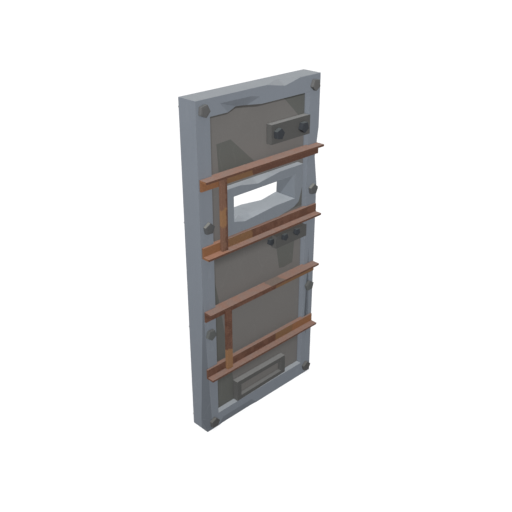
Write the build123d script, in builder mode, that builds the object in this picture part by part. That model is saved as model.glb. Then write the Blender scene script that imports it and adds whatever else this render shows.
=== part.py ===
"""A heavy battered steel door leaf with a view slot, four angle-iron braces and a food-hatch frame.

The front faces -Y and the hinge edge is the plane x = 0. The foot of the leaf is z = 0, and y = 0 is the
middle of its thickness.
"""

import os

from build123d import *

# Leaf frame
DOOR_WIDTH = 936
DOOR_HEIGHT = 2040
FRAME_DEPTH = 130
STILE_WIDTH = 92
TOP_RAIL_HEIGHT = 94
BOTTOM_RAIL_HEIGHT = 97

# Sheets that close the frame, front and back
PANEL_RECESS = 35
SHEET_THICKNESS = 6

# Lining of the view slot, a tunnel through the leaf
LINING_LEFT_MARGIN = 80
LINING_RIGHT_MARGIN = 46
LINING_DROP = 413
SLOT_HEIGHT = 147
LINING_HEAD_HEIGHT = 53
LINING_SILL_HEIGHT = 75
LINING_JAMB_WIDTH = 67
LINING_PROUD = 9

# Angle-iron braces, welded across the stiles in two pairs
ANGLE_LEG = 64
ANGLE_FLANGE = 55
ANGLE_THICKNESS = 12
ANGLE_ROOT_RADIUS = 5
ANGLE_END_INSET = 9
BRACE_ABOVE_LINING = 35
BRACE_BELOW_LINING = 12
LOWER_BRACE_RISE = 155
LOWER_BRACE_SPACING = 453

# Flat bars that tie each pair of braces
TIE_WIDTH = 41
TIE_THICKNESS = 20
UPPER_TIE_INSET = 130
LOWER_TIE_INSET = 149

# Bolted plates on the front sheet, rebated at one end to lap the closing stile
PLATE_LAP = 10
PLATE_PROUD = 3
LOCK_PLATE_LENGTH = 310
LOCK_PLATE_HEIGHT = 113
LOCK_PLATE_DROP = 131
KEEPER_PLATE_LENGTH = 262
KEEPER_PLATE_HEIGHT = 79
KEEPER_PLATE_DROP = 54

# Raised frame of the food hatch, standing on the bottom rail
HATCH_WIDTH = 439
HATCH_HEIGHT = 142
HATCH_BAR_WIDTH = 37

# A knock cuts this share further than its depth past both faces, and starts this far outside the edge
KNOCK_OVERRUN = 0.3
KNOCK_CLEARANCE = 30

# Faces and levels that follow from the sizes above
frame_front = -FRAME_DEPTH / 2
frame_back = FRAME_DEPTH / 2
panel_front = frame_front + PANEL_RECESS
panel_back = frame_back - PANEL_RECESS
field_left = STILE_WIDTH
field_right = DOOR_WIDTH - STILE_WIDTH
field_bottom = BOTTOM_RAIL_HEIGHT
field_top = DOOR_HEIGHT - TOP_RAIL_HEIGHT

lining_left = field_left + LINING_LEFT_MARGIN
lining_right = field_right - LINING_RIGHT_MARGIN
lining_top = field_top - LINING_DROP
lining_front = frame_front - LINING_PROUD
lining_back = frame_back + LINING_PROUD
slot_left = lining_left + LINING_JAMB_WIDTH
slot_right = lining_right - LINING_JAMB_WIDTH
slot_top = lining_top - LINING_HEAD_HEIGHT
slot_bottom = slot_top - SLOT_HEIGHT
lining_bottom = slot_bottom - LINING_SILL_HEIGHT

hatch_left = (DOOR_WIDTH - HATCH_WIDTH) / 2
hatch_right = hatch_left + HATCH_WIDTH
hatch_top = field_bottom + HATCH_HEIGHT

upper_pair_top = lining_top + BRACE_ABOVE_LINING + ANGLE_LEG
upper_pair_bottom = lining_bottom - BRACE_BELOW_LINING - ANGLE_LEG
lower_pair_bottom = hatch_top + LOWER_BRACE_RISE
lower_pair_top = lower_pair_bottom + LOWER_BRACE_SPACING
leg_front = frame_front - ANGLE_THICKNESS

lock_plate_top = field_top - LOCK_PLATE_DROP
keeper_plate_top = upper_pair_bottom - KEEPER_PLATE_DROP


def bar(left, right, front, back, bottom, top):
    """A rectangular bar or plate between six faces."""
    with BuildPart(mode=Mode.PRIVATE) as piece:
        with BuildSketch(Plane.XY.offset(bottom)):
            with Locations(((left + right) / 2, (front + back) / 2)):
                Rectangle(right - left, back - front)
        extrude(amount=top - bottom)
    return piece.part


def knock(edge, start, end, deepest, first_reach, second_reach):
    """The wedge knocked out of a straight edge, tapering to nothing at its start and end.

    The plane stands on the edge, with its z along the edge and its x and y running into the two faces. The
    knock reaches its full extent on the first and second face at its deepest places along the edge.
    """
    first_over = first_reach * KNOCK_OVERRUN
    second_over = second_reach * KNOCK_OVERRUN
    with BuildPart(mode=Mode.PRIVATE) as wedge:
        sections = [Vertex(*edge.from_local_coords(Vector(0, 0, start)))]
        for place in deepest:
            with BuildSketch(edge.offset(place), mode=Mode.PRIVATE) as section:
                with BuildLine():
                    Polyline(
                        (first_reach + first_over, -second_over),
                        (-first_over, second_reach + second_over),
                        (-KNOCK_CLEARANCE, -KNOCK_CLEARANCE),
                        close=True,
                    )
                make_face()
            sections.append(section.sketch.face())
        sections.append(Vertex(*edge.from_local_coords(Vector(0, 0, end))))
        loft(sections=sections, ruled=True)
    return wedge.part


def gouge(face, start, end, place, near, valley, far, depth):
    """The sliver scraped out of a flat face, V-shaped across and tapering to nothing at its start and end.

    The plane lies on the face, with its z along the gouge and its y into the metal. The near side, the valley
    and the far side are places across the gouge where it is widest.
    """
    over = depth * KNOCK_OVERRUN
    with BuildPart(mode=Mode.PRIVATE) as sliver:
        with BuildSketch(face.offset(place), mode=Mode.PRIVATE) as section:
            with BuildLine():
                Polyline(
                    (near - (valley - near) * KNOCK_OVERRUN, -over),
                    (valley, depth),
                    (far + (far - valley) * KNOCK_OVERRUN, -over),
                    close=True,
                )
            make_face()
        middle = (near + far) / 2
        tip = Vertex(*face.from_local_coords(Vector(middle, 0, start)))
        tail = Vertex(*face.from_local_coords(Vector(middle, 0, end)))
        loft(sections=[tip, section.sketch.face(), tail], ruled=True)
    return sliver.part


def angle_iron(level, leg_direction):
    """An angle iron across the door: its flange lies at the level, its leg runs up (1) or down (-1) from it."""
    profile = Plane(
        origin=(ANGLE_END_INSET, frame_front, level), x_dir=(0, -1, 0), z_dir=(leg_direction, 0, 0)
    )
    length = DOOR_WIDTH - 2 * ANGLE_END_INSET
    with BuildPart(mode=Mode.PRIVATE) as brace:
        with BuildSketch(profile) as section:
            with BuildLine():
                Polyline(
                    (0, 0),
                    (ANGLE_FLANGE, 0),
                    (ANGLE_FLANGE, -ANGLE_THICKNESS),
                    (ANGLE_THICKNESS, -ANGLE_THICKNESS),
                    (ANGLE_THICKNESS, -ANGLE_LEG),
                    (0, -ANGLE_LEG),
                    close=True,
                )
            make_face()
            root = section.vertices().sort_by_distance((ANGLE_THICKNESS, -ANGLE_THICKNESS))[0]
            fillet(root, radius=ANGLE_ROOT_RADIUS)
        extrude(amount=length * leg_direction)
    return brace.part


def bolted_plate(length, bottom, top):
    """A plate on the front sheet whose right end is rebated to lap the closing stile."""
    front = frame_front - PLATE_PROUD
    with BuildPart(mode=Mode.PRIVATE) as plate:
        add(bar(field_right - length, field_right + PLATE_LAP, front, panel_front, bottom, top))
        add(
            bar(field_right, field_right + PLATE_LAP, frame_front, panel_front, bottom, top),
            mode=Mode.SUBTRACT,
        )
    return plate.part


os.makedirs("parts", exist_ok=True)


def write(piece, name):
    """Labels a finished piece and writes it under its own name."""
    piece.part.label = name
    export_step(piece.part, f"parts/{name}.step")


# Hinge stile: a long knock widens towards the foot of its outer front edge
hinge_edge = Plane(origin=(0, frame_front, 0), x_dir=(1, 0, 0), z_dir=(0, 0, 1))
hinge_knock = knock(hinge_edge, start=0, end=925, deepest=[70], first_reach=38, second_reach=55)
with BuildPart() as left_stile:
    add(bar(0, field_left, frame_front, frame_back, 0, DOOR_HEIGHT))
    add(hinge_knock, mode=Mode.SUBTRACT)
write(left_stile, "left_stile")

# Closing stile: a knock on its outer front edge beside the view slot, and a long gouge down its face
closing_edge = Plane(origin=(DOOR_WIDTH, frame_front, 0), x_dir=(0, 1, 0), z_dir=(0, 0, 1))
closing_knock = knock(
    closing_edge, start=1370, end=1726, deepest=[1548], first_reach=45, second_reach=25
)
closing_face = Plane(origin=(field_right, frame_front, 0), x_dir=(1, 0, 0), z_dir=(0, 0, 1))
closing_gouge = gouge(
    closing_face, start=300, end=955, place=475, near=20, valley=54, far=61, depth=12
)
with BuildPart() as right_stile:
    add(bar(field_right, DOOR_WIDTH, frame_front, frame_back, 0, DOOR_HEIGHT))
    add(closing_knock, mode=Mode.SUBTRACT)
    add(closing_gouge, mode=Mode.SUBTRACT)
write(right_stile, "right_stile")

# Top rail: a knock on its upper front edge, and a broad dent that runs out through its underside
DENT_LEFT = 158
DENT_RIGHT = 447
DENT_FLOOR_LEFT = 262
DENT_FLOOR_RIGHT = 345
DENT_HEIGHT = 55
DENT_DEPTH = 30
DENT_UNDERCUT = 2
top_rail_upper_edge = Plane(origin=(0, frame_front, DOOR_HEIGHT), x_dir=(0, 0, -1), z_dir=(1, 0, 0))
top_rail_knock = knock(
    top_rail_upper_edge, start=494, end=767, deepest=[640], first_reach=27, second_reach=60
)
dent_start = DENT_LEFT - (DENT_FLOOR_LEFT - DENT_LEFT) * KNOCK_OVERRUN
dent_end = DENT_RIGHT + (DENT_RIGHT - DENT_FLOOR_RIGHT) * KNOCK_OVERRUN
dent_corner = (dent_start, frame_front - DENT_DEPTH * KNOCK_OVERRUN, field_top - DENT_UNDERCUT)
with BuildPart(mode=Mode.PRIVATE) as top_rail_dent:
    with Locations(dent_corner):
        Wedge(
            dent_end - dent_start,
            DENT_DEPTH * (1 + KNOCK_OVERRUN),
            DENT_HEIGHT * (1 + KNOCK_OVERRUN) + DENT_UNDERCUT,
            DENT_FLOOR_LEFT - dent_start,
            0,
            DENT_FLOOR_RIGHT - dent_start,
            DENT_UNDERCUT / 2,
            align=(Align.MIN, Align.MIN, Align.MIN),
        )
with BuildPart() as top_rail:
    add(bar(field_left, field_right, frame_front, frame_back, field_top, DOOR_HEIGHT))
    add(top_rail_knock, mode=Mode.SUBTRACT)
    add(top_rail_dent.part, mode=Mode.SUBTRACT)
write(top_rail, "top_rail")

# Bottom rail: its lower front edge is scuffed back on the hinge side
bottom_rail_edge = Plane(origin=(0, frame_front, 0), x_dir=(0, 0, 1), z_dir=(-1, 0, 0))
bottom_rail_scuff = knock(
    bottom_rail_edge, start=-425, end=-95, deepest=[-375, -130], first_reach=46, second_reach=4
)
with BuildPart() as bottom_rail:
    add(bar(field_left, field_right, frame_front, frame_back, 0, field_bottom))
    add(bottom_rail_scuff, mode=Mode.SUBTRACT)
write(bottom_rail, "bottom_rail")

# Sheets, set back from the frame on both sides and cut out round the view slot's lining
lining_hole = bar(lining_left, lining_right, frame_front, frame_back, lining_bottom, lining_top)
with BuildPart() as front_panel:
    add(bar(field_left, field_right, panel_front, panel_front + SHEET_THICKNESS, field_bottom, field_top))
    add(lining_hole, mode=Mode.SUBTRACT)
write(front_panel, "front_panel")

with BuildPart() as back_panel:
    add(bar(field_left, field_right, panel_back - SHEET_THICKNESS, panel_back, field_bottom, field_top))
    add(lining_hole, mode=Mode.SUBTRACT)
write(back_panel, "back_panel")

# Head of the view slot, knocked on its upper front edge
head_edge = Plane(origin=(0, lining_front, lining_top), x_dir=(0, 0, -1), z_dir=(1, 0, 0))
head_knock = knock(head_edge, start=285, end=600, deepest=[425], first_reach=25, second_reach=60)
with BuildPart() as slot_head:
    add(bar(lining_left, lining_right, lining_front, lining_back, slot_top, lining_top))
    add(head_knock, mode=Mode.SUBTRACT)
write(slot_head, "slot_head")

# The lining's lower closing corner is broken off, down to the panel at the corner itself. The outline on the
# front face is measured inwards and upwards from that corner, and runs past the lining's side and underside.
CORNER_BREAK_OUTLINE = ((-6, 165), (29, 47), (71, 22), (211, -2), (-20, -20))
CORNER_BREAK_OVERRUN = 1.2
break_reach = (panel_front - lining_front) * CORNER_BREAK_OVERRUN
break_outline = [
    (lining_right - inwards * CORNER_BREAK_OVERRUN, lining_bottom + upwards * CORNER_BREAK_OVERRUN)
    for inwards, upwards in CORNER_BREAK_OUTLINE
]
with BuildPart(mode=Mode.PRIVATE) as corner_break:
    with BuildSketch(Plane.XZ.offset(break_reach - panel_front), mode=Mode.PRIVATE) as broken_face:
        with BuildLine():
            Polyline(*break_outline, close=True)
        make_face()
    loft(sections=[broken_face.sketch.face(), Vertex(lining_right, panel_front, lining_bottom)], ruled=True)

# Sill of the view slot, knocked on its front and back edges
sill_front_edge = Plane(origin=(0, lining_front, slot_bottom), x_dir=(0, 0, -1), z_dir=(1, 0, 0))
sill_back_edge = Plane(origin=(0, lining_back, slot_bottom), x_dir=(0, -1, 0), z_dir=(1, 0, 0))
sill_front_knock = knock(
    sill_front_edge, start=236, end=560, deepest=[322], first_reach=22, second_reach=55
)
sill_back_knock = knock(
    sill_back_edge, start=440, end=722, deepest=[605], first_reach=40, second_reach=18
)
with BuildPart() as slot_sill:
    add(bar(lining_left, lining_right, lining_front, lining_back, lining_bottom, slot_bottom))
    add(sill_front_knock, mode=Mode.SUBTRACT)
    add(sill_back_knock, mode=Mode.SUBTRACT)
    add(corner_break.part, mode=Mode.SUBTRACT)
write(slot_sill, "slot_sill")

# Jambs of the view slot: the right one is knocked back on its rear inner edge, more so towards the head
JAMB_KNOCK_BELOW_SILL = 78
JAMB_KNOCK_ABOVE_HEAD = 60
JAMB_KNOCK_PEAK = 2
jamb_edge = Plane(origin=(slot_right, lining_back, 0), x_dir=(0, -1, 0), z_dir=(0, 0, 1))
jamb_knock = knock(
    jamb_edge,
    start=slot_bottom - JAMB_KNOCK_BELOW_SILL,
    end=slot_top + JAMB_KNOCK_ABOVE_HEAD,
    deepest=[slot_top + JAMB_KNOCK_PEAK],
    first_reach=138,
    second_reach=15,
)
with BuildPart() as slot_left_jamb:
    add(bar(lining_left, slot_left, lining_front, lining_back, slot_bottom, slot_top))
write(slot_left_jamb, "slot_left_jamb")

with BuildPart() as slot_right_jamb:
    add(bar(slot_right, lining_right, lining_front, lining_back, slot_bottom, slot_top))
    add(jamb_knock, mode=Mode.SUBTRACT)
    add(corner_break.part, mode=Mode.SUBTRACT)
write(slot_right_jamb, "slot_right_jamb")

# Angle-iron braces: each pair turns its flanges outwards and its legs towards each other
for name, level, leg_direction in (
    ("upper_top_brace", upper_pair_top, -1),
    ("upper_bottom_brace", upper_pair_bottom, 1),
    ("lower_top_brace", lower_pair_top, -1),
    ("lower_bottom_brace", lower_pair_bottom, 1),
):
    with BuildPart() as brace:
        add(angle_iron(level, leg_direction))
    write(brace, name)

# Tie bars, flat on the legs and upright between the flanges of a pair, eased to clear the angles' roots
for name, inset, bottom, top in (
    ("upper_tie_bar", UPPER_TIE_INSET, upper_pair_bottom, upper_pair_top),
    ("lower_tie_bar", LOWER_TIE_INSET, lower_pair_bottom, lower_pair_top),
):
    with BuildPart() as tie:
        add(
            bar(
                inset,
                inset + TIE_WIDTH,
                leg_front - TIE_THICKNESS,
                leg_front,
                bottom + ANGLE_THICKNESS,
                top - ANGLE_THICKNESS,
            )
        )
        back_ends = tie.faces().sort_by(Axis.Y)[-1].edges().filter_by(Axis.X)
        chamfer(back_ends, length=ANGLE_ROOT_RADIUS)
    write(tie, name)

# Bolted plates for the lock and its keeper
with BuildPart() as lock_plate:
    add(bolted_plate(LOCK_PLATE_LENGTH, lock_plate_top - LOCK_PLATE_HEIGHT, lock_plate_top))
write(lock_plate, "lock_plate")

with BuildPart() as keeper_plate:
    add(bolted_plate(KEEPER_PLATE_LENGTH, keeper_plate_top - KEEPER_PLATE_HEIGHT, keeper_plate_top))
write(keeper_plate, "keeper_plate")

# Hatch frame: two uprights between a sill bar and a head bar
for name, left, right, bottom, top in (
    ("hatch_sill_bar", hatch_left, hatch_right, field_bottom, field_bottom + HATCH_BAR_WIDTH),
    ("hatch_head_bar", hatch_left, hatch_right, hatch_top - HATCH_BAR_WIDTH, hatch_top),
    (
        "hatch_left_bar",
        hatch_left,
        hatch_left + HATCH_BAR_WIDTH,
        field_bottom + HATCH_BAR_WIDTH,
        hatch_top - HATCH_BAR_WIDTH,
    ),
    (
        "hatch_right_bar",
        hatch_right - HATCH_BAR_WIDTH,
        hatch_right,
        field_bottom + HATCH_BAR_WIDTH,
        hatch_top - HATCH_BAR_WIDTH,
    ),
):
    with BuildPart() as hatch_bar:
        add(bar(left, right, frame_front, panel_front, bottom, top))
    write(hatch_bar, name)
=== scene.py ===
"""A battered steel door leaf with a view slot, rusty angle-iron braces and five-sided bolt heads."""

import math
from functools import reduce

import bmesh
import bpy
from mathutils import Matrix, Vector


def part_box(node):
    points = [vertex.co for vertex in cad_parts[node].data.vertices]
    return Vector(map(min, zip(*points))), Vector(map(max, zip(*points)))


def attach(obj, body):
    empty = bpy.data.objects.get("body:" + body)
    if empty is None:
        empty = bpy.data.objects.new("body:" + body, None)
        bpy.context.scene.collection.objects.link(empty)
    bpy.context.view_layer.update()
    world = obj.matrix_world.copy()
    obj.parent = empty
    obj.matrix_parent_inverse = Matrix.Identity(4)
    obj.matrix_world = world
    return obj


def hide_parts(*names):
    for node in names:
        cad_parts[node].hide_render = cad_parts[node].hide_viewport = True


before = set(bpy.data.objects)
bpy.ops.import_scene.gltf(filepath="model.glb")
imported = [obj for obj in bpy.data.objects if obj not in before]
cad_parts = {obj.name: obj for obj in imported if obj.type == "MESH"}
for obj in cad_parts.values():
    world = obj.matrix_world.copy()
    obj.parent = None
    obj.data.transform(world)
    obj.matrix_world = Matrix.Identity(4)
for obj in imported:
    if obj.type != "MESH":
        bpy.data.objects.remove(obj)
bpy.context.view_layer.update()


# The leaf's frame is two stiles and two rails of heavy box section, butted and welded at the corners and
# painted blue-grey. Knocks have bent and chipped its edges, and the paint is dull, scratched and dusty,
# with painted top light on top and painted shade on bent facets and round the knocked foot of the hinge
# side.
class Signal:
    """A shader socket that takes part in arithmetic and adds further nodes to its tree."""

    def __init__(self, socket):
        self.socket = socket

    def node(self, kind, settings, sockets, output=0):
        """Adds a node: its settings first, then the values or links of its sockets."""
        tree = self.socket.id_data
        made = tree.nodes.new(kind)
        for name, value in settings.items():
            setattr(made, name, value)
        for key, value in sockets.items():
            if isinstance(value, Signal):
                tree.links.new(value.socket, made.inputs[key])
            elif made.inputs[key].type == "RGBA":
                made.inputs[key].default_value = (*value, 1.0)
            else:
                made.inputs[key].default_value = value
        return Signal(made.outputs[output])

    def math(self, operation, first, second=0.0):
        return self.node("ShaderNodeMath", {"operation": operation}, {0: first, 1: second})

    def feed(self, node, name):
        self.socket.id_data.links.new(self.socket, node.inputs[name])

    def axis(self, name):
        return self.node("ShaderNodeSeparateXYZ", {}, {0: self}, name)

    def most(self, other):
        return self.math("MAXIMUM", self, other)

    def least(self, other):
        return self.math("MINIMUM", self, other)

    def __abs__(self):
        return self.math("ABSOLUTE", self)

    def __neg__(self):
        return self.math("SUBTRACT", 0.0, self)

    def __add__(self, other):
        return self.math("ADD", self, other)

    def __radd__(self, other):
        return self.math("ADD", other, self)

    def __sub__(self, other):
        return self.math("SUBTRACT", self, other)

    def __rsub__(self, other):
        return self.math("SUBTRACT", other, self)

    def __mul__(self, other):
        return self.math("MULTIPLY", self, other)

    def __rmul__(self, other):
        return self.math("MULTIPLY", other, self)


def tone(red, green, blue):
    """The linear colour of three screen values from 0 to 255."""
    return tuple(((value / 255 + 0.055) / 1.055) ** 2.4 for value in (red, green, blue))


def new_finish(name, shine):
    """A new material, its surface node and the place on the door that it is looked up by."""
    finish = bpy.data.materials.new(name)
    finish.use_nodes = True
    surface = finish.node_tree.nodes["Principled BSDF"]
    surface.inputs["Specular IOR Level"].default_value = shine
    place = Signal(finish.node_tree.nodes.new("ShaderNodeTexCoord").outputs["Object"])
    return finish, surface, place


def noise(place, scale, detail, stretch=(1.0, 1.0, 1.0)):
    """Cloudy noise from 0 to 1, with so many clouds to the metre."""
    stretched = place.node("ShaderNodeVectorMath", {"operation": "MULTIPLY"}, {0: place, 1: stretch})
    return place.node(
        "ShaderNodeTexNoise", {}, {"Vector": stretched, "Scale": scale, "Detail": detail}, "Fac"
    )


def ramp(value, low, high):
    """0 below the low value, 1 above the high one and smooth between them."""
    return value.node(
        "ShaderNodeMapRange",
        {"interpolation_type": "SMOOTHSTEP"},
        {"Value": value, "From Min": low, "From Max": high},
    )


def mix(share, first, second):
    """The first colour, with a share of the second laid over it."""
    return share.node(
        "ShaderNodeMix", {"data_type": "RGBA"}, {"Factor": share, 6: first, 7: second}, 2
    )


def shaded(colour, shade):
    """A colour made lighter or darker by a factor."""
    return shade.node(
        "ShaderNodeVectorMath", {"operation": "SCALE"}, {0: colour, "Scale": shade}
    )


def outward(place):
    """The direction that a surface faces."""
    return place.node("ShaderNodeNewGeometry", {}, {}, "Normal")


UPWARD_SLOPE = (0.35, 0.9)


def upward(place):
    """1 on faces that look up, where dust and painted top light go, and 0 on upright faces."""
    return ramp(outward(place).axis("Z"), *UPWARD_SLOPE)


# Painted shade at the foot of the hinge edge, darkening the faces round the knocked corner there.
FOOT_SHADE_TOP = (0.066, 0.076)
FOOT_SHADE_SIDE = (0.034, 0.042)
FOOT_SHADE_BACK = (-0.012, -0.008)


def painted_foot_shade(place):
    """1 at the foot of the hinge edge, where painted shade darkens the faces round the knocked corner, and
    0 elsewhere.
    """
    low = 1.0 - ramp(place.axis("Z"), *FOOT_SHADE_TOP)
    outer = 1.0 - ramp(place.axis("X"), *FOOT_SHADE_SIDE)
    front = 1.0 - ramp(place.axis("Y"), *FOOT_SHADE_BACK)
    return low * outer * front


# Painted shade on bent facets, set by the way each facet faces.
SLANT = (0.1, 0.45)
OVERHANG = (0.02, 0.12)
FOOT_TOP = (0.2, 0.4)
BACKWARD = (0.02, 0.1)
STRAIGHT = (0.996, 0.9995)


def painted_facet_shade(place):
    """How much painted shade a facet gets: 0 on straight faces, and about 1 on edges knocked off slantwise.

    Other bent facets lie between, darker where they overhang at the foot or look backwards.
    """
    normal = outward(place)
    across, through, up = (normal.axis(name) for name in "XYZ")
    sideways = abs(across)
    frontways = abs(through)
    straight = ramp(abs(up).most(sideways.most(frontways)), *STRAIGHT)
    slantwise = ramp(sideways * frontways, *SLANT)
    at_foot = ramp(-up, *OVERHANG) * (1.0 - ramp(place.axis("Z"), *FOOT_TOP))
    sheltered = at_foot.most(ramp(through, *BACKWARD))
    darkened = slantwise.most(0.2 + 0.4 * sheltered)
    bent = darkened * (1.0 - straight) * (1.0 - upward(place))
    return bent.most((0.7 + 0.6 * slantwise) * painted_foot_shade(place))


# Painted shade: every finish is darkened towards the door's foot and within a short reach of its corners.
LIGHT_AT_FOOT = 0.73
LIGHTER_PER_METRE = 0.135
CORNER_REACH = 0.016
CORNER_SHADE = 0.2
OPEN_CORNER = (0.4, 0.85)


def painted_light_level(place):
    """The painted light at a place: painted shade darkens the door towards its foot and in its corners."""
    openness = place.node("ShaderNodeAmbientOcclusion", {"samples": 8}, {"Distance": CORNER_REACH}, "AO")
    lit = LIGHT_AT_FOOT + LIGHTER_PER_METRE * place.axis("Z")
    return lit * ((1.0 - CORNER_SHADE) + CORNER_SHADE * ramp(openness, *OPEN_CORNER))


EDGE_TURN = (0.02, 0.25)


def edges(place, radius):
    """1 along the outer edges of a piece, fading out within the radius."""
    rounded = place.node("ShaderNodeBevel", {"samples": 6}, {"Radius": radius})
    along = place.node(
        "ShaderNodeVectorMath", {"operation": "DOT_PRODUCT"}, {0: outward(place), 1: rounded}, "Value"
    )
    return ramp(1.0 - along, *EDGE_TURN)


HAIR_WIDTH = 0.006


def hairlines(place, scale):
    """Fine wandering scratches."""
    cloud = noise(place, scale, detail=2.0, stretch=(1.0, 1.0, 0.4))
    return 1.0 - ramp(abs(cloud - 0.5), 0.0, HAIR_WIDTH)


def roughen(surface, relief, depth, strength):
    """Lays a fine relief of that depth in metres on a surface."""
    normal = relief.node(
        "ShaderNodeBump", {}, {"Strength": strength, "Distance": depth, "Height": relief}, "Normal"
    )
    normal.feed(surface, "Normal")


BARE_STEEL = tone(150, 155, 160)


def paint(name, colour, dust_and_top_light):
    """Dull old mottled, streaked paint with dust and painted top light on top, painted shade on bent
    facets, bare worn edges.
    """
    finish, surface, place = new_finish(name, shine=0.1)
    mottle = noise(place, scale=3.5, detail=4.0)
    streak = noise(place, scale=26.0, detail=3.0, stretch=(1.0, 1.0, 0.05))
    grain = noise(place, scale=380.0, detail=2.0)
    scratch = hairlines(place, scale=7.0)
    worn = edges(place, radius=0.0025) * ramp(noise(place, scale=60.0, detail=4.0), 0.45, 0.6)
    blotches = 0.9 + 0.1 * mottle + 0.06 * streak + 0.05 * grain
    shade = painted_light_level(place) * (blotches - 0.46 * painted_facet_shade(place))
    # Dust and painted top light: faces that look up are mixed towards a paler colour.
    dust_and_top_light_share = upward(place) * ramp(noise(place, scale=9.0, detail=5.0), 0.0, 0.5)
    dusted_and_top_lit = mix(dust_and_top_light_share, shaded(colour, shade), dust_and_top_light)
    scratched = mix(scratch * 0.07, dusted_and_top_lit, BARE_STEEL)
    mix(worn * 0.5, scratched, BARE_STEEL).feed(surface, "Base Color")
    (0.5 + 0.2 * mottle + 0.1 * grain - 0.15 * worn).feed(surface, "Roughness")
    roughen(surface, grain + 0.6 * mottle - 0.8 * scratch - worn, depth=0.0008, strength=0.35)
    return finish


def coat(finish, *names):
    """Gives a finish to solids of the frame by name."""
    for name in names:
        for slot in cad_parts[name].material_slots:
            slot.material = finish


frame_paint = paint("frame_paint", colour=tone(121, 127, 135), dust_and_top_light=tone(135, 139, 143))
coat(frame_paint, "left_stile", "right_stile", "bottom_rail")


# The top rail is box section like the rest, and it has taken the hardest blows. Its upper front edge is
# knocked off on the closing side. Its lower front edge is beaten in and up near the hinge, with a hollow
# behind it. The corners of the blows are across the door, back from the rail's front and up from its foot.
rail_low, rail_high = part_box("top_rail")
RAIL_HEIGHT = rail_high.z - rail_low.z
RAIL_KNOCK = (
    (0.494, 0.0, RAIL_HEIGHT),
    (0.767, 0.0, RAIL_HEIGHT),
    (0.640, 0.0, 0.067),
    (0.640, 0.060, RAIL_HEIGHT),
)
DENT_OUTLINE = ((0.162, 0.0, 0.056), (0.385, 0.0, 0.054), (0.446, 0.0, 0.041))
DENT_FOOT = ((0.215, 0.0, 0.0), (0.461, 0.0, 0.0))
DENT_VALLEY = ((0.282, 0.013, 0.017), (0.359, 0.016, 0.006))
HOLLOW_BACK = ((0.282, 0.085, 0.0), (0.359, 0.085, 0.0))
HOLLOW_OVERLAP = ((0.310, 0.003, 0.008),)
RAIL_DENT = DENT_OUTLINE + DENT_FOOT + DENT_VALLEY
RAIL_HOLLOW = DENT_FOOT + DENT_VALLEY + HOLLOW_BACK + HOLLOW_OVERLAP


def new_piece(name, shape, finish):
    """Turns a finished shape into an object with its finish."""
    mesh = bpy.data.meshes.new(name)
    shape.to_mesh(mesh)
    shape.free()
    mesh.materials.append(finish)
    piece = bpy.data.objects.new(name, mesh)
    bpy.context.scene.collection.objects.link(piece)
    return piece


def faceted(name, finish, corners):
    """A piece with flat facets stretched over its corners."""
    shape = bmesh.new()
    for corner in corners:
        shape.verts.new(corner)
    bmesh.ops.convex_hull(shape, input=shape.verts[:])
    bmesh.ops.recalc_face_normals(shape, faces=shape.faces[:])
    return new_piece(name, shape, finish)


rail_shape = bmesh.new()
bmesh.ops.create_cube(rail_shape, size=1.0)
bmesh.ops.scale(rail_shape, vec=rail_high - rail_low, verts=rail_shape.verts[:])
bmesh.ops.translate(rail_shape, vec=(rail_low + rail_high) / 2, verts=rail_shape.verts[:])
struck_rail = new_piece("struck_top_rail", rail_shape, frame_paint)
chips = []
for number, corners in enumerate((RAIL_KNOCK, RAIL_DENT, RAIL_HOLLOW), start=1):
    on_rail = [(across, rail_low.y + back, rail_low.z + up) for across, back, up in corners]
    chip = faceted(f"rail_chip_{number}", frame_paint, on_rail)
    blow = struck_rail.modifiers.new(chip.name, "BOOLEAN")
    blow.operation = "DIFFERENCE"
    blow.solver = "EXACT"
    blow.object = chip
    chips.append(chip)
struck_mesh = bpy.data.meshes.new_from_object(
    struck_rail.evaluated_get(bpy.context.evaluated_depsgraph_get())
)
struck_rail.modifiers.clear()
struck_rail.data = struck_mesh
for chip in chips:
    bpy.data.objects.remove(chip)
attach(struck_rail, "root")
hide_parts("top_rail")


# The leaf is closed by two steel sheets, set back from the frame's faces and welded in all round. The bare
# steel is a warm grey, with hard-edged darker patches. Painted shadow lies beside the hinge stile and under
# the top rail, but not at its dent, and under each pair of braces in front.
sheet_low, sheet_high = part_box("front_panel")
back_sheet_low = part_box("back_panel")[0]
PATCH_EDGE = 0.004
PATCHES = (
    ((0.176, 1.560), (0.502, 1.560), (0.426, 1.636), (0.262, 1.786), (0.161, 1.781)),
    ((0.779, 1.829), (0.850, 1.760), (0.850, 1.950), (0.645, 1.950)),
    ((0.745, 1.246), (0.850, 1.246), (0.850, 1.420), (0.798, 1.420)),
    ((0.652, 0.880), (0.697, 0.872), (0.773, 0.879), (0.789, 1.060), (0.620, 1.060)),
    ((0.090, 0.090), (0.265, 0.090), (0.270, 0.279), (0.149, 0.860), (0.122, 1.018), (0.090, 1.018)),
)
# Painted shadow on the sheets: under the top rail, beside the hinge stile and under each pair of braces.
TOP_SHADOW_HEIGHT = 0.021
TOP_SHADOW_EDGE = 0.006
UNSHADOWED_AT_DENT = ((0.227, 1.920), (0.494, 1.920), (0.377, 1.936), (0.302, 1.945))
SIDE_SHADOW_WIDTH = 0.039
SIDE_SHADOW_EDGE = 0.008
SIDE_SHADOW_SHARE = 0.4
SHADOW_DARKNESS = 0.5
BRACE_SHADOW_FADE = 0.09
BRACE_SHADOWS = ((1.05, 1.2, 1.0), (0.25, 0.4, 0.8))
SHEET_SCRATCH = tone(140, 139, 136)


def border(value, level, width):
    """0 below a level and 1 above it, smooth over a border of that width."""
    return ramp(value, level - width / 2, level + width / 2)


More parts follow.
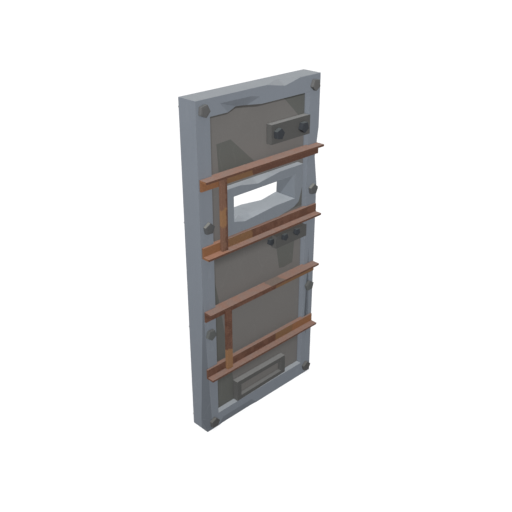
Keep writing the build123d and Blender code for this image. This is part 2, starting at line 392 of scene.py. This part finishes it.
def within(place, corners):
    """1 inside a patch whose corners are given anticlockwise, as seen from the front."""
    across = place.axis("X")
    up = place.axis("Z")
    depths = []
    for (x0, z0), (x1, z1) in zip(corners, corners[1:] + corners[:1]):
        length = math.hypot(x1 - x0, z1 - z0)
        depths.append((up - z0) * ((x1 - x0) / length) - (across - x0) * ((z1 - z0) / length))
    return border(reduce(Signal.least, depths), 0.0, PATCH_EDGE)


def painted_shadow(place):
    """How much painted shadow lies at a place on the sheets, from 0 to 1."""
    front_sheet = 1.0 - ramp(place.axis("Y"), sheet_high.y, back_sheet_low.y)
    up = place.axis("Z")
    top_shadow = border(up, sheet_high.z - TOP_SHADOW_HEIGHT, TOP_SHADOW_EDGE)
    side_shadow = 1.0 - border(place.axis("X"), sheet_low.x + SIDE_SHADOW_WIDTH, SIDE_SHADOW_EDGE)
    shadow_share = (top_shadow * (1.0 - within(place, UNSHADOWED_AT_DENT) * front_sheet)).most(SIDE_SHADOW_SHARE * side_shadow)
    for start, end, amount in BRACE_SHADOWS:
        brace_shadow = amount * ramp(up, start, start + BRACE_SHADOW_FADE) * (1.0 - ramp(up, end, end + PATCH_EDGE))
        shadow_share = shadow_share.most(brace_shadow * front_sheet)
    return shadow_share


def sheet_steel(name, colour, patch_colour):
    """Bare sheet that has dulled, with hard-edged darker patches."""
    finish, surface, place = new_finish(name, shine=0.1)
    mottle = noise(place, scale=4.0, detail=4.0)
    grain = noise(place, scale=260.0, detail=3.0)
    scratch = hairlines(place, scale=5.0)
    patched = reduce(Signal.most, [within(place, corners) for corners in PATCHES])
    # Painted shade and painted shadow darken the bare steel.
    lit = painted_light_level(place) * (1.0 - SHADOW_DARKNESS * painted_shadow(place))
    shade = lit * (0.9 + 0.12 * mottle + 0.08 * grain)
    steel = mix(patched, shaded(colour, shade), shaded(patch_colour, shade))
    mix(scratch * 0.05, steel, SHEET_SCRATCH).feed(surface, "Base Color")
    (0.62 + 0.15 * mottle - 0.08 * patched).feed(surface, "Roughness")
    roughen(surface, grain + mottle - 0.3 * scratch, depth=0.001, strength=0.25)
    return finish


panel_steel = sheet_steel("panel_steel", colour=tone(111, 109, 107), patch_colour=tone(93, 94, 91))
coat(panel_steel, "front_panel", "back_panel")


# The view slot is lined with four thick bars that run through the leaf, stand proud of both its faces and
# are welded to the sheets. They are painted like the frame, with more dust and painted top light. The edges
# of the sill are broken, and the right jamb has lost its lower front corner and is gouged along the slot.
# The lining's paler dust also stands for painted top light on the sill and head tops inside the slot.
lining_paint = paint("lining_paint", colour=tone(119, 125, 132), dust_and_top_light=tone(148, 153, 158))
coat(lining_paint, "slot_head", "slot_sill", "slot_left_jamb")
LINING_REACH = 0.0055
BREAK_DEPTH = 0.018
sill_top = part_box("slot_sill")[1].z
SILL_BREAK = ((0.722, sill_top), (0.605, sill_top - BREAK_DEPTH), (0.440, sill_top))


def rectangle(left, right, bottom, top):
    """The corners of an upright rectangle, anticlockwise as seen from the front."""
    return ((left, bottom), (right, bottom), (right, top), (left, top))


def slab(name, finish, corners, front, back):
    """A flat piece of an outline given anticlockwise, as seen from the front."""
    shape = bmesh.new()
    outline = [shape.verts.new((across, front, up)) for across, up in corners]
    shape.faces.new(outline)
    sides = bmesh.ops.extrude_face_region(shape, geom=shape.faces[:])["geom"]
    rear = [part for part in sides if isinstance(part, bmesh.types.BMVert)]
    bmesh.ops.translate(shape, verts=rear, vec=(0.0, back - front, 0.0))
    bmesh.ops.recalc_face_normals(shape, faces=shape.faces[:])
    piece = new_piece(name, shape, finish)
    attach(piece, "root")
    return piece


for part, broken in (("head", ()), ("left_jamb", ()), ("sill", SILL_BREAK)):
    bar_low, bar_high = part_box(f"slot_{part}")
    corners = rectangle(bar_low.x, bar_high.x, bar_low.z, bar_high.z)
    corners = corners[:3] + broken + corners[3:]
    rim = slab(f"slot_{part}_rim", lining_paint, corners, bar_high.y, bar_high.y + LINING_REACH)

CORNER_WIDTH = 0.021
CORNER_DEPTH = 0.021
CORNER_HEIGHT = 0.070
SILL_GOUGE_START = 0.118
SILL_GOUGE_WIDTH = 0.0027
HEAD_GOUGE_START = 0.011
HEAD_GOUGE_WIDTH = 0.010
jamb_low, jamb_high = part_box("slot_right_jamb")
jamb_back = jamb_high.y + LINING_REACH
RIGHT_JAMB = (
    (jamb_low.x, jamb_low.y, jamb_low.z),
    (jamb_high.x - CORNER_WIDTH, jamb_low.y, jamb_low.z),
    (jamb_high.x, jamb_low.y, jamb_low.z + CORNER_HEIGHT),
    (jamb_high.x, jamb_low.y, jamb_high.z),
    (jamb_low.x, jamb_low.y, jamb_high.z),
    (jamb_high.x, jamb_low.y + CORNER_DEPTH, jamb_low.z),
    (jamb_low.x, jamb_low.y + SILL_GOUGE_START, jamb_low.z),
    (jamb_low.x, jamb_low.y + HEAD_GOUGE_START, jamb_high.z),
    (jamb_low.x + SILL_GOUGE_WIDTH, jamb_back, jamb_low.z),
    (jamb_high.x, jamb_back, jamb_low.z),
    (jamb_high.x, jamb_back, jamb_high.z),
    (jamb_low.x + HEAD_GOUGE_WIDTH, jamb_back, jamb_high.z),
)
gouged_jamb = faceted("gouged_right_jamb", lining_paint, RIGHT_JAMB)
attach(gouged_jamb, "root")
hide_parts("slot_right_jamb")


# Four lengths of angle iron are welded across the stiles in two pairs, flanges outwards, with a packing bar
# behind each leg between the stiles. They were never painted, and each has rusted in its own bands of dark
# brown, red-brown and orange.
DARK_RUST = tone(88, 62, 51)
RED_RUST = tone(100, 72, 60)
ORANGE_RUST = tone(128, 90, 64)
YELLOW_RUST = tone(134, 101, 73)
OLIVE_RUST = tone(115, 87, 63)
WORN_RUST = tone(113, 85, 71)
PALE_RUST = tone(134, 113, 104)
WARM_RUST = tone(138, 109, 97)
BRIGHT_RUST = tone(148, 111, 93)
GREY_RUST = tone(113, 101, 94)
LIP_DEPTH = 0.002
LIP_FADE = 0.008
BAND_EDGE = 0.012
BAND_RAGGED = 0.06
PAST_LEFT = -0.1
PAST_RIGHT = 1.1
PACKING_DEPTH = 0.015
flange_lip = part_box("upper_top_brace")[0].y + LIP_DEPTH


def banded(place, colour, bands):
    """A colour with bands of others laid over it, each along an axis from a start to an end."""
    ragged = BAND_RAGGED * (noise(place, scale=22.0, detail=4.0) - 0.5)
    for axis, start, end, other in bands:
        along = ragged + place.axis(axis)
        share = border(along, start, BAND_EDGE) * (1.0 - border(along, end, BAND_EDGE))
        colour = mix(share, colour, other)
    return colour


def rusted(name, bands, top_bands=()):
    """Rusted bare steel with bands on its upright faces, others where it looks up and a dark front lip."""
    finish, surface, place = new_finish(name, shine=0.2)
    cloud = noise(place, scale=18.0, detail=5.0)
    flake = noise(place, scale=85.0, detail=5.0)
    pit = noise(place, scale=330.0, detail=3.0)
    behind_lip = ramp(place.axis("Y"), flange_lip, flange_lip + LIP_FADE)
    plain = mix(ramp(cloud, 0.4, 0.6), DARK_RUST, RED_RUST)
    upright = mix(behind_lip, DARK_RUST, banded(place, plain, bands))
    top = banded(place, mix(ramp(cloud, 0.3, 0.7), PALE_RUST, WARM_RUST), top_bands)
    fleck = ramp(noise(place, scale=130.0, detail=2.0), 0.6, 0.68)
    rust = mix(fleck * 0.3, mix(upward(place), upright, top), BRIGHT_RUST)
    shade = painted_light_level(place) * (0.76 + 0.26 * flake + 0.22 * pit)
    worn = edges(place, radius=0.003) * ramp(flake, 0.4, 0.6)
    mix(worn * 0.25, shaded(rust, shade), PALE_RUST).feed(surface, "Base Color")
    (0.6 + 0.25 * flake + 0.1 * pit).feed(surface, "Roughness")
    roughen(surface, pit + 1.5 * flake, depth=0.0015, strength=0.5)
    return finish


upper_top_rust = rusted(
    "upper_top_rust",
    bands=(
        ("X", PAST_LEFT, 0.16, ORANGE_RUST),
        ("X", 0.18, 0.377, OLIVE_RUST),
        ("X", 0.377, PAST_RIGHT, DARK_RUST),
    ),
)
upper_bottom_rust = rusted(
    "upper_bottom_rust",
    bands=(("X", PAST_LEFT, 0.2, ORANGE_RUST), ("X", 0.2, 0.376, OLIVE_RUST)),
    top_bands=(("X", PAST_LEFT, 0.16, BRIGHT_RUST),),
)
lower_top_rust = rusted(
    "lower_top_rust",
    bands=(("X", 0.573, PAST_RIGHT, OLIVE_RUST),),
    top_bands=(("X", 0.492, 0.614, GREY_RUST),),
)
lower_bottom_rust = rusted(
    "lower_bottom_rust",
    bands=(("X", 0.578, 0.736, OLIVE_RUST), ("X", 0.736, PAST_RIGHT, ORANGE_RUST)),
)
for part, rust in (
    ("upper_top", upper_top_rust),
    ("upper_bottom", upper_bottom_rust),
    ("lower_top", lower_top_rust),
    ("lower_bottom", lower_bottom_rust),
):
    coat(rust, f"{part}_brace")
    brace_low, brace_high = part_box(f"{part}_brace")
    leg = rectangle(sheet_low.x, sheet_high.x, brace_low.z, brace_high.z)
    packing = slab(f"{part}_packing", rust, leg, brace_high.y, brace_high.y + PACKING_DEPTH)


# A flat bar stands between the flanges of each pair, welded to the legs behind it. It has rusted like the
# angles, with a brighter band where water has run and lain.
upper_tie_rust = rusted(
    "upper_tie_rust",
    bands=(
        ("Z", 1.1, 1.7, WORN_RUST),
        ("Z", 1.336, 1.443, YELLOW_RUST),
        ("X", 0.158, PAST_RIGHT, DARK_RUST),
    ),
)
lower_tie_rust = rusted("lower_tie_rust", bands=(("Z", 0.35, 0.537, YELLOW_RUST),))
coat(upper_tie_rust, "upper_tie_bar")
coat(lower_tie_rust, "lower_tie_bar")


# Two thick plates are bolted to the front sheet beside the closing stile, for the lock and for its keeper.
# They are hot-rolled steel with the dark mill skin still on. The lock's top is painted paler as painted top
# light, while the keeper's top is painted darker as painted shadow from the brace over it.
MILL_SKIN = tone(81, 81, 80)


def dark_steel(name, colour, painted_top_light, edge_colour):
    """Dark mill-skinned steel with painted top light, painted paler on faces that look to the hinge side,
    edges rubbed bright.
    """
    finish, surface, place = new_finish(name, shine=0.08)
    mottle = noise(place, scale=12.0, detail=4.0)
    grain = noise(place, scale=300.0, detail=3.0)
    rubbed = edges(place, radius=0.0025) * ramp(noise(place, scale=70.0, detail=3.0), 0.4, 0.6)
    # Painted light: faces that look to the hinge side are painted paler.
    hinge_side_light = ramp(-outward(place).axis("X"), 0.6, 0.95)
    shade = painted_light_level(place) * (0.88 + 0.14 * mottle + 0.1 * grain + 0.2 * hinge_side_light)
    # The top faces take a colour of their own, painted for the light that falls on them.
    steel = shaded(mix(upward(place), colour, painted_top_light), shade)
    mix(rubbed * 0.35, steel, edge_colour).feed(surface, "Base Color")
    (0.5 + 0.15 * mottle + 0.1 * grain - 0.1 * rubbed).feed(surface, "Roughness")
    roughen(surface, grain + mottle, depth=0.0008, strength=0.35)
    return finish


# The lock plate's top is painted pale: painted top light.
lock_steel = dark_steel(
    "lock_steel", MILL_SKIN, painted_top_light=tone(123, 123, 122), edge_colour=tone(112, 112, 111)
)
# The keeper plate's top is painted darker than its skin: painted shadow from the brace over it.
keeper_steel = dark_steel(
    "keeper_steel", MILL_SKIN, painted_top_light=tone(76, 74, 71), edge_colour=tone(100, 98, 95)
)
coat(lock_steel, "lock_plate")
coat(keeper_steel, "keeper_plate")


# The hatch frame is four bars welded to the sheet above the bottom rail, cut from the same dark stock as
# the plates and none too square. A plate of sheet steel closes it. The bars' tops carry painted top light,
# less on the sill, where the head bar casts painted shade.
HATCH_PROUD = 0.004
HATCH_RECESS = 0.028
HATCH_HEAD = ((0.250, 0.213), (0.682, 0.214), (0.680, 0.241), (0.250, 0.244))
HATCH_SILL = ((0.251, 0.101), (0.683, 0.110), (0.683, 0.134), (0.251, 0.130))
HATCH_OPENING = ((0.285, 0.1303), (0.648, 0.1336), (0.648, 0.2139), (0.285, 0.2131))
HATCH_LEFT = (HATCH_SILL[3], HATCH_OPENING[0], HATCH_OPENING[3], HATCH_HEAD[0])
HATCH_RIGHT = (HATCH_OPENING[1], HATCH_SILL[2], HATCH_HEAD[1], HATCH_OPENING[2])
HATCH_SKIN = tone(82, 82, 81)
hatch_steel = dark_steel(
    "hatch_steel", HATCH_SKIN, painted_top_light=tone(128, 128, 127), edge_colour=tone(115, 115, 113)
)
# The sill's top is painted darker than the head's: painted shade under the head bar.
hatch_sill_steel = dark_steel(
    "hatch_sill_steel", HATCH_SKIN, painted_top_light=tone(115, 115, 114), edge_colour=tone(106, 106, 104)
)
hatch_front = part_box("hatch_head_bar")[0].y - HATCH_PROUD
hatch_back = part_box("hatch_head_bar")[1].y
for side, corners, bar_steel in (
    ("head", HATCH_HEAD, hatch_steel),
    ("left", HATCH_LEFT, hatch_steel),
    ("right", HATCH_RIGHT, hatch_steel),
    ("sill", HATCH_SILL, hatch_sill_steel),
):
    bar = slab(f"hatch_{side}_stock", bar_steel, corners, hatch_front, hatch_back)
    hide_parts(f"hatch_{side}_bar")
closing_plate = slab(
    "hatch_closing_plate", panel_steel, HATCH_OPENING, hatch_front + HATCH_RECESS, hatch_back
)


# Large five-sided bolts go through the stiles, with a head on each face, and smaller ones hold the plates.
# The heads are forged and left black, and no two were driven home to the same turn.
HEAD_SIDES = 5
HEAD_EDGE = 0.0015
HEAD_CROWN = 0.001
FRONT = -1
BACK = 1


def bolt_head(name, finish, place, seat, facing, radius, height, turn):
    """A five-sided head on a face, turned by so many degrees about the bolt."""
    head = bmesh.new()
    bmesh.ops.create_circle(head, cap_ends=True, segments=HEAD_SIDES, radius=radius)
    raised = bmesh.ops.extrude_face_region(head, geom=head.faces[:])["geom"]
    corners = [part for part in raised if isinstance(part, bmesh.types.BMVert)]
    bmesh.ops.translate(head, verts=corners, vec=(0.0, 0.0, height))
    bmesh.ops.recalc_face_normals(head, faces=head.faces[:])
    rim = [edge for edge in head.edges if max(corner.co.z for corner in edge.verts) > height / 2]
    bmesh.ops.bevel(
        head, geom=rim, offset=HEAD_EDGE, segments=2, profile=0.5, affect="EDGES", material=-1
    )
    crown = max(head.faces, key=lambda face: face.calc_center_median().z)
    bmesh.ops.inset_region(head, faces=[crown], thickness=radius / 4, depth=HEAD_CROWN)
    upright = Matrix.Rotation(math.radians(-90 * facing), 4, "X")
    turned = Matrix.Rotation(math.radians(turn), 4, "Y")
    set_in = Matrix.Translation((place[0], seat, place[1]))
    bmesh.ops.transform(head, matrix=set_in @ turned @ upright, verts=head.verts[:])
    piece = new_piece(name, head, finish)
    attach(piece, "root")


FRAME_HEAD_RADIUS = 0.035
FRAME_HEAD_HEIGHT = 0.020
HINGE_HEADS = (
    ((0.052, 0.052), 9.0),
    ((0.046, 0.687), 39.0),
    ((0.055, 1.349), 5.0),
    ((0.0475, 1.985), 26.0),
)
CLOSING_HEADS = (
    ((0.891, 0.056), 3.0),
    ((0.892, 0.684), 68.0),
    ((0.897, 1.348), 4.5),
    ((0.8835, 1.982), 41.0),
)
HINGE_BACK_LINE = 0.046
CLOSING_BACK_LINE = 0.890
BACK_TURN = 18.0
# Each row of heads has its own tone, with a paler colour on top as painted top light.
HEAD_TONES_AND_TOP_LIGHT = (
    (tone(77, 77, 77), tone(106, 106, 104)),
    (tone(88, 90, 89), tone(98, 99, 98)),
    (tone(81, 82, 83), tone(126, 126, 122)),
    (tone(92, 92, 92), tone(96, 97, 97)),
)
HEAD_RUBBED = tone(108, 108, 106)
frame_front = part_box("left_stile")[0].y
frame_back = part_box("left_stile")[1].y
frame_bolt_steels = [
    dark_steel(f"frame_bolt_steel_{row}", colour, painted_top_light, HEAD_RUBBED)
    for row, (colour, painted_top_light) in enumerate(HEAD_TONES_AND_TOP_LIGHT, start=1)
]
for side, heads, back_line in (
    ("hinge", HINGE_HEADS, HINGE_BACK_LINE),
    ("closing", CLOSING_HEADS, CLOSING_BACK_LINE),
):
    for number, (place, turn) in enumerate(heads, start=1):
        for face, across, seat, facing, head_turn in (
            ("front", place[0], frame_front, FRONT, turn),
            ("back", back_line, frame_back, BACK, BACK_TURN),
        ):
            bolt_head(
                f"{side}_{face}_bolt_{number}",
                frame_bolt_steels[number - 1],
                (across, place[1]),
                seat,
                facing,
                FRAME_HEAD_RADIUS,
                FRAME_HEAD_HEIGHT,
                head_turn,
            )

LOCK_HEAD_RADIUS = 0.034
LOCK_HEAD_HEIGHT = 0.026
KEEPER_HEAD_RADIUS = 0.0235
KEEPER_HEAD_HEIGHT = 0.020
plate_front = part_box("lock_plate")[0].y
LOCK_HEADS = (((0.582, 1.759), plate_front, 13.0), ((0.786, 1.757), plate_front, 38.0))
KEEPER_HEADS = (
    ((0.567, 1.090), sheet_low.y, 36.0),
    ((0.648, 1.109), plate_front, 30.0),
    ((0.754, 1.1105), plate_front, 40.0),
)
# The plate bolts' tops are painted paler as painted top light.
plate_bolt_steel = dark_steel(
    "plate_bolt_steel", tone(54, 57, 61), painted_top_light=tone(82, 86, 87), edge_colour=tone(76, 80, 82)
)
for plate, heads, radius, height in (
    ("lock_plate", LOCK_HEADS, LOCK_HEAD_RADIUS, LOCK_HEAD_HEIGHT),
    ("keeper_plate", KEEPER_HEADS, KEEPER_HEAD_RADIUS, KEEPER_HEAD_HEIGHT),
):
    for number, (place, seat, turn) in enumerate(heads, start=1):
        bolt_head(f"{plate}_bolt_{number}", plate_bolt_steel, place, seat, FRONT, radius, height, turn)


# The studio is a wide pale floor with white all round, lit by a broad lamp overhead and plain fills from
# the front left and the back right. The camera stands at the door's front left and looks down on it.
FLOOR_SIZE = 60.0
FLOOR_SEEN = (0.82, 0.82, 0.82)
FLOOR_BOUNCE = (0.15, 0.15, 0.15)
SKY_COLOUR = (1.0, 1.0, 1.0, 1.0)
SKY_LIGHT = 0.04
EYE = (-2.2116, -2.7087, 2.9029)
EYE_PITCH = 63.668
EYE_YAW = -44.833
LENS = 50.14
SENSOR = 36.0


def seen_rays(signal):
    """1 for rays that show a thing itself: straight to the camera, mirrored or through glass."""
    kinds = ("Camera", "Glossy", "Transmission")
    return reduce(
        Signal.most, [signal.node("ShaderNodeLightPath", {}, {}, f"Is {kind} Ray") for kind in kinds]
    )


floor_card, floor_surface, floor_place = new_finish("floor_card", shine=0.0)
mix(seen_rays(floor_place), FLOOR_BOUNCE, FLOOR_SEEN).feed(floor_surface, "Base Color")
floor_surface.inputs["Roughness"].default_value = 1.0
floor_shape = bmesh.new()
bmesh.ops.create_grid(floor_shape, x_segments=1, y_segments=1, size=FLOOR_SIZE / 2)
new_piece("studio_floor", floor_shape, floor_card)

world = bpy.data.worlds.new("studio_sky")
world.use_nodes = True
sky = world.node_tree.nodes["Background"]
sky.inputs["Color"].default_value = SKY_COLOUR
sky_seen = seen_rays(Signal(sky.outputs["Background"]))
(SKY_LIGHT + (1.0 - SKY_LIGHT) * sky_seen).feed(sky, "Strength")
bpy.context.scene.world = world


def far_lamp(name, stand, power, spread, shadow):
    """A lamp that shines on the door from the way it stands, over a spread in degrees."""
    lamp_data = bpy.data.lights.new(name, "SUN")
    lamp_data.energy = power
    lamp_data.angle = math.radians(spread)
    lamp_data.use_shadow = shadow
    lamp = bpy.data.objects.new(name, lamp_data)
    lamp.rotation_euler = Vector(stand).to_track_quat("Z", "Y").to_euler()
    lamp.visible_glossy = shadow
    bpy.context.scene.collection.objects.link(lamp)


far_lamp("overhead_lamp", stand=(-0.15, -0.15, 1.0), power=0.8, spread=70.0, shadow=True)
far_lamp("front_fill", stand=(-0.69, -0.59, 0.42), power=4.17, spread=30.0, shadow=False)
far_lamp("back_fill", stand=(0.6, 0.6, 0.53), power=2.7, spread=30.0, shadow=False)

camera_data = bpy.data.cameras.new("camera")
camera_data.sensor_width = SENSOR
camera_data.lens = LENS
camera = bpy.data.objects.new("camera", camera_data)
camera.location = EYE
camera.rotation_euler = (math.radians(EYE_PITCH), 0.0, math.radians(EYE_YAW))
bpy.context.scene.collection.objects.link(camera)
bpy.context.scene.camera = camera
bpy.context.scene.view_settings.view_transform = "Standard"
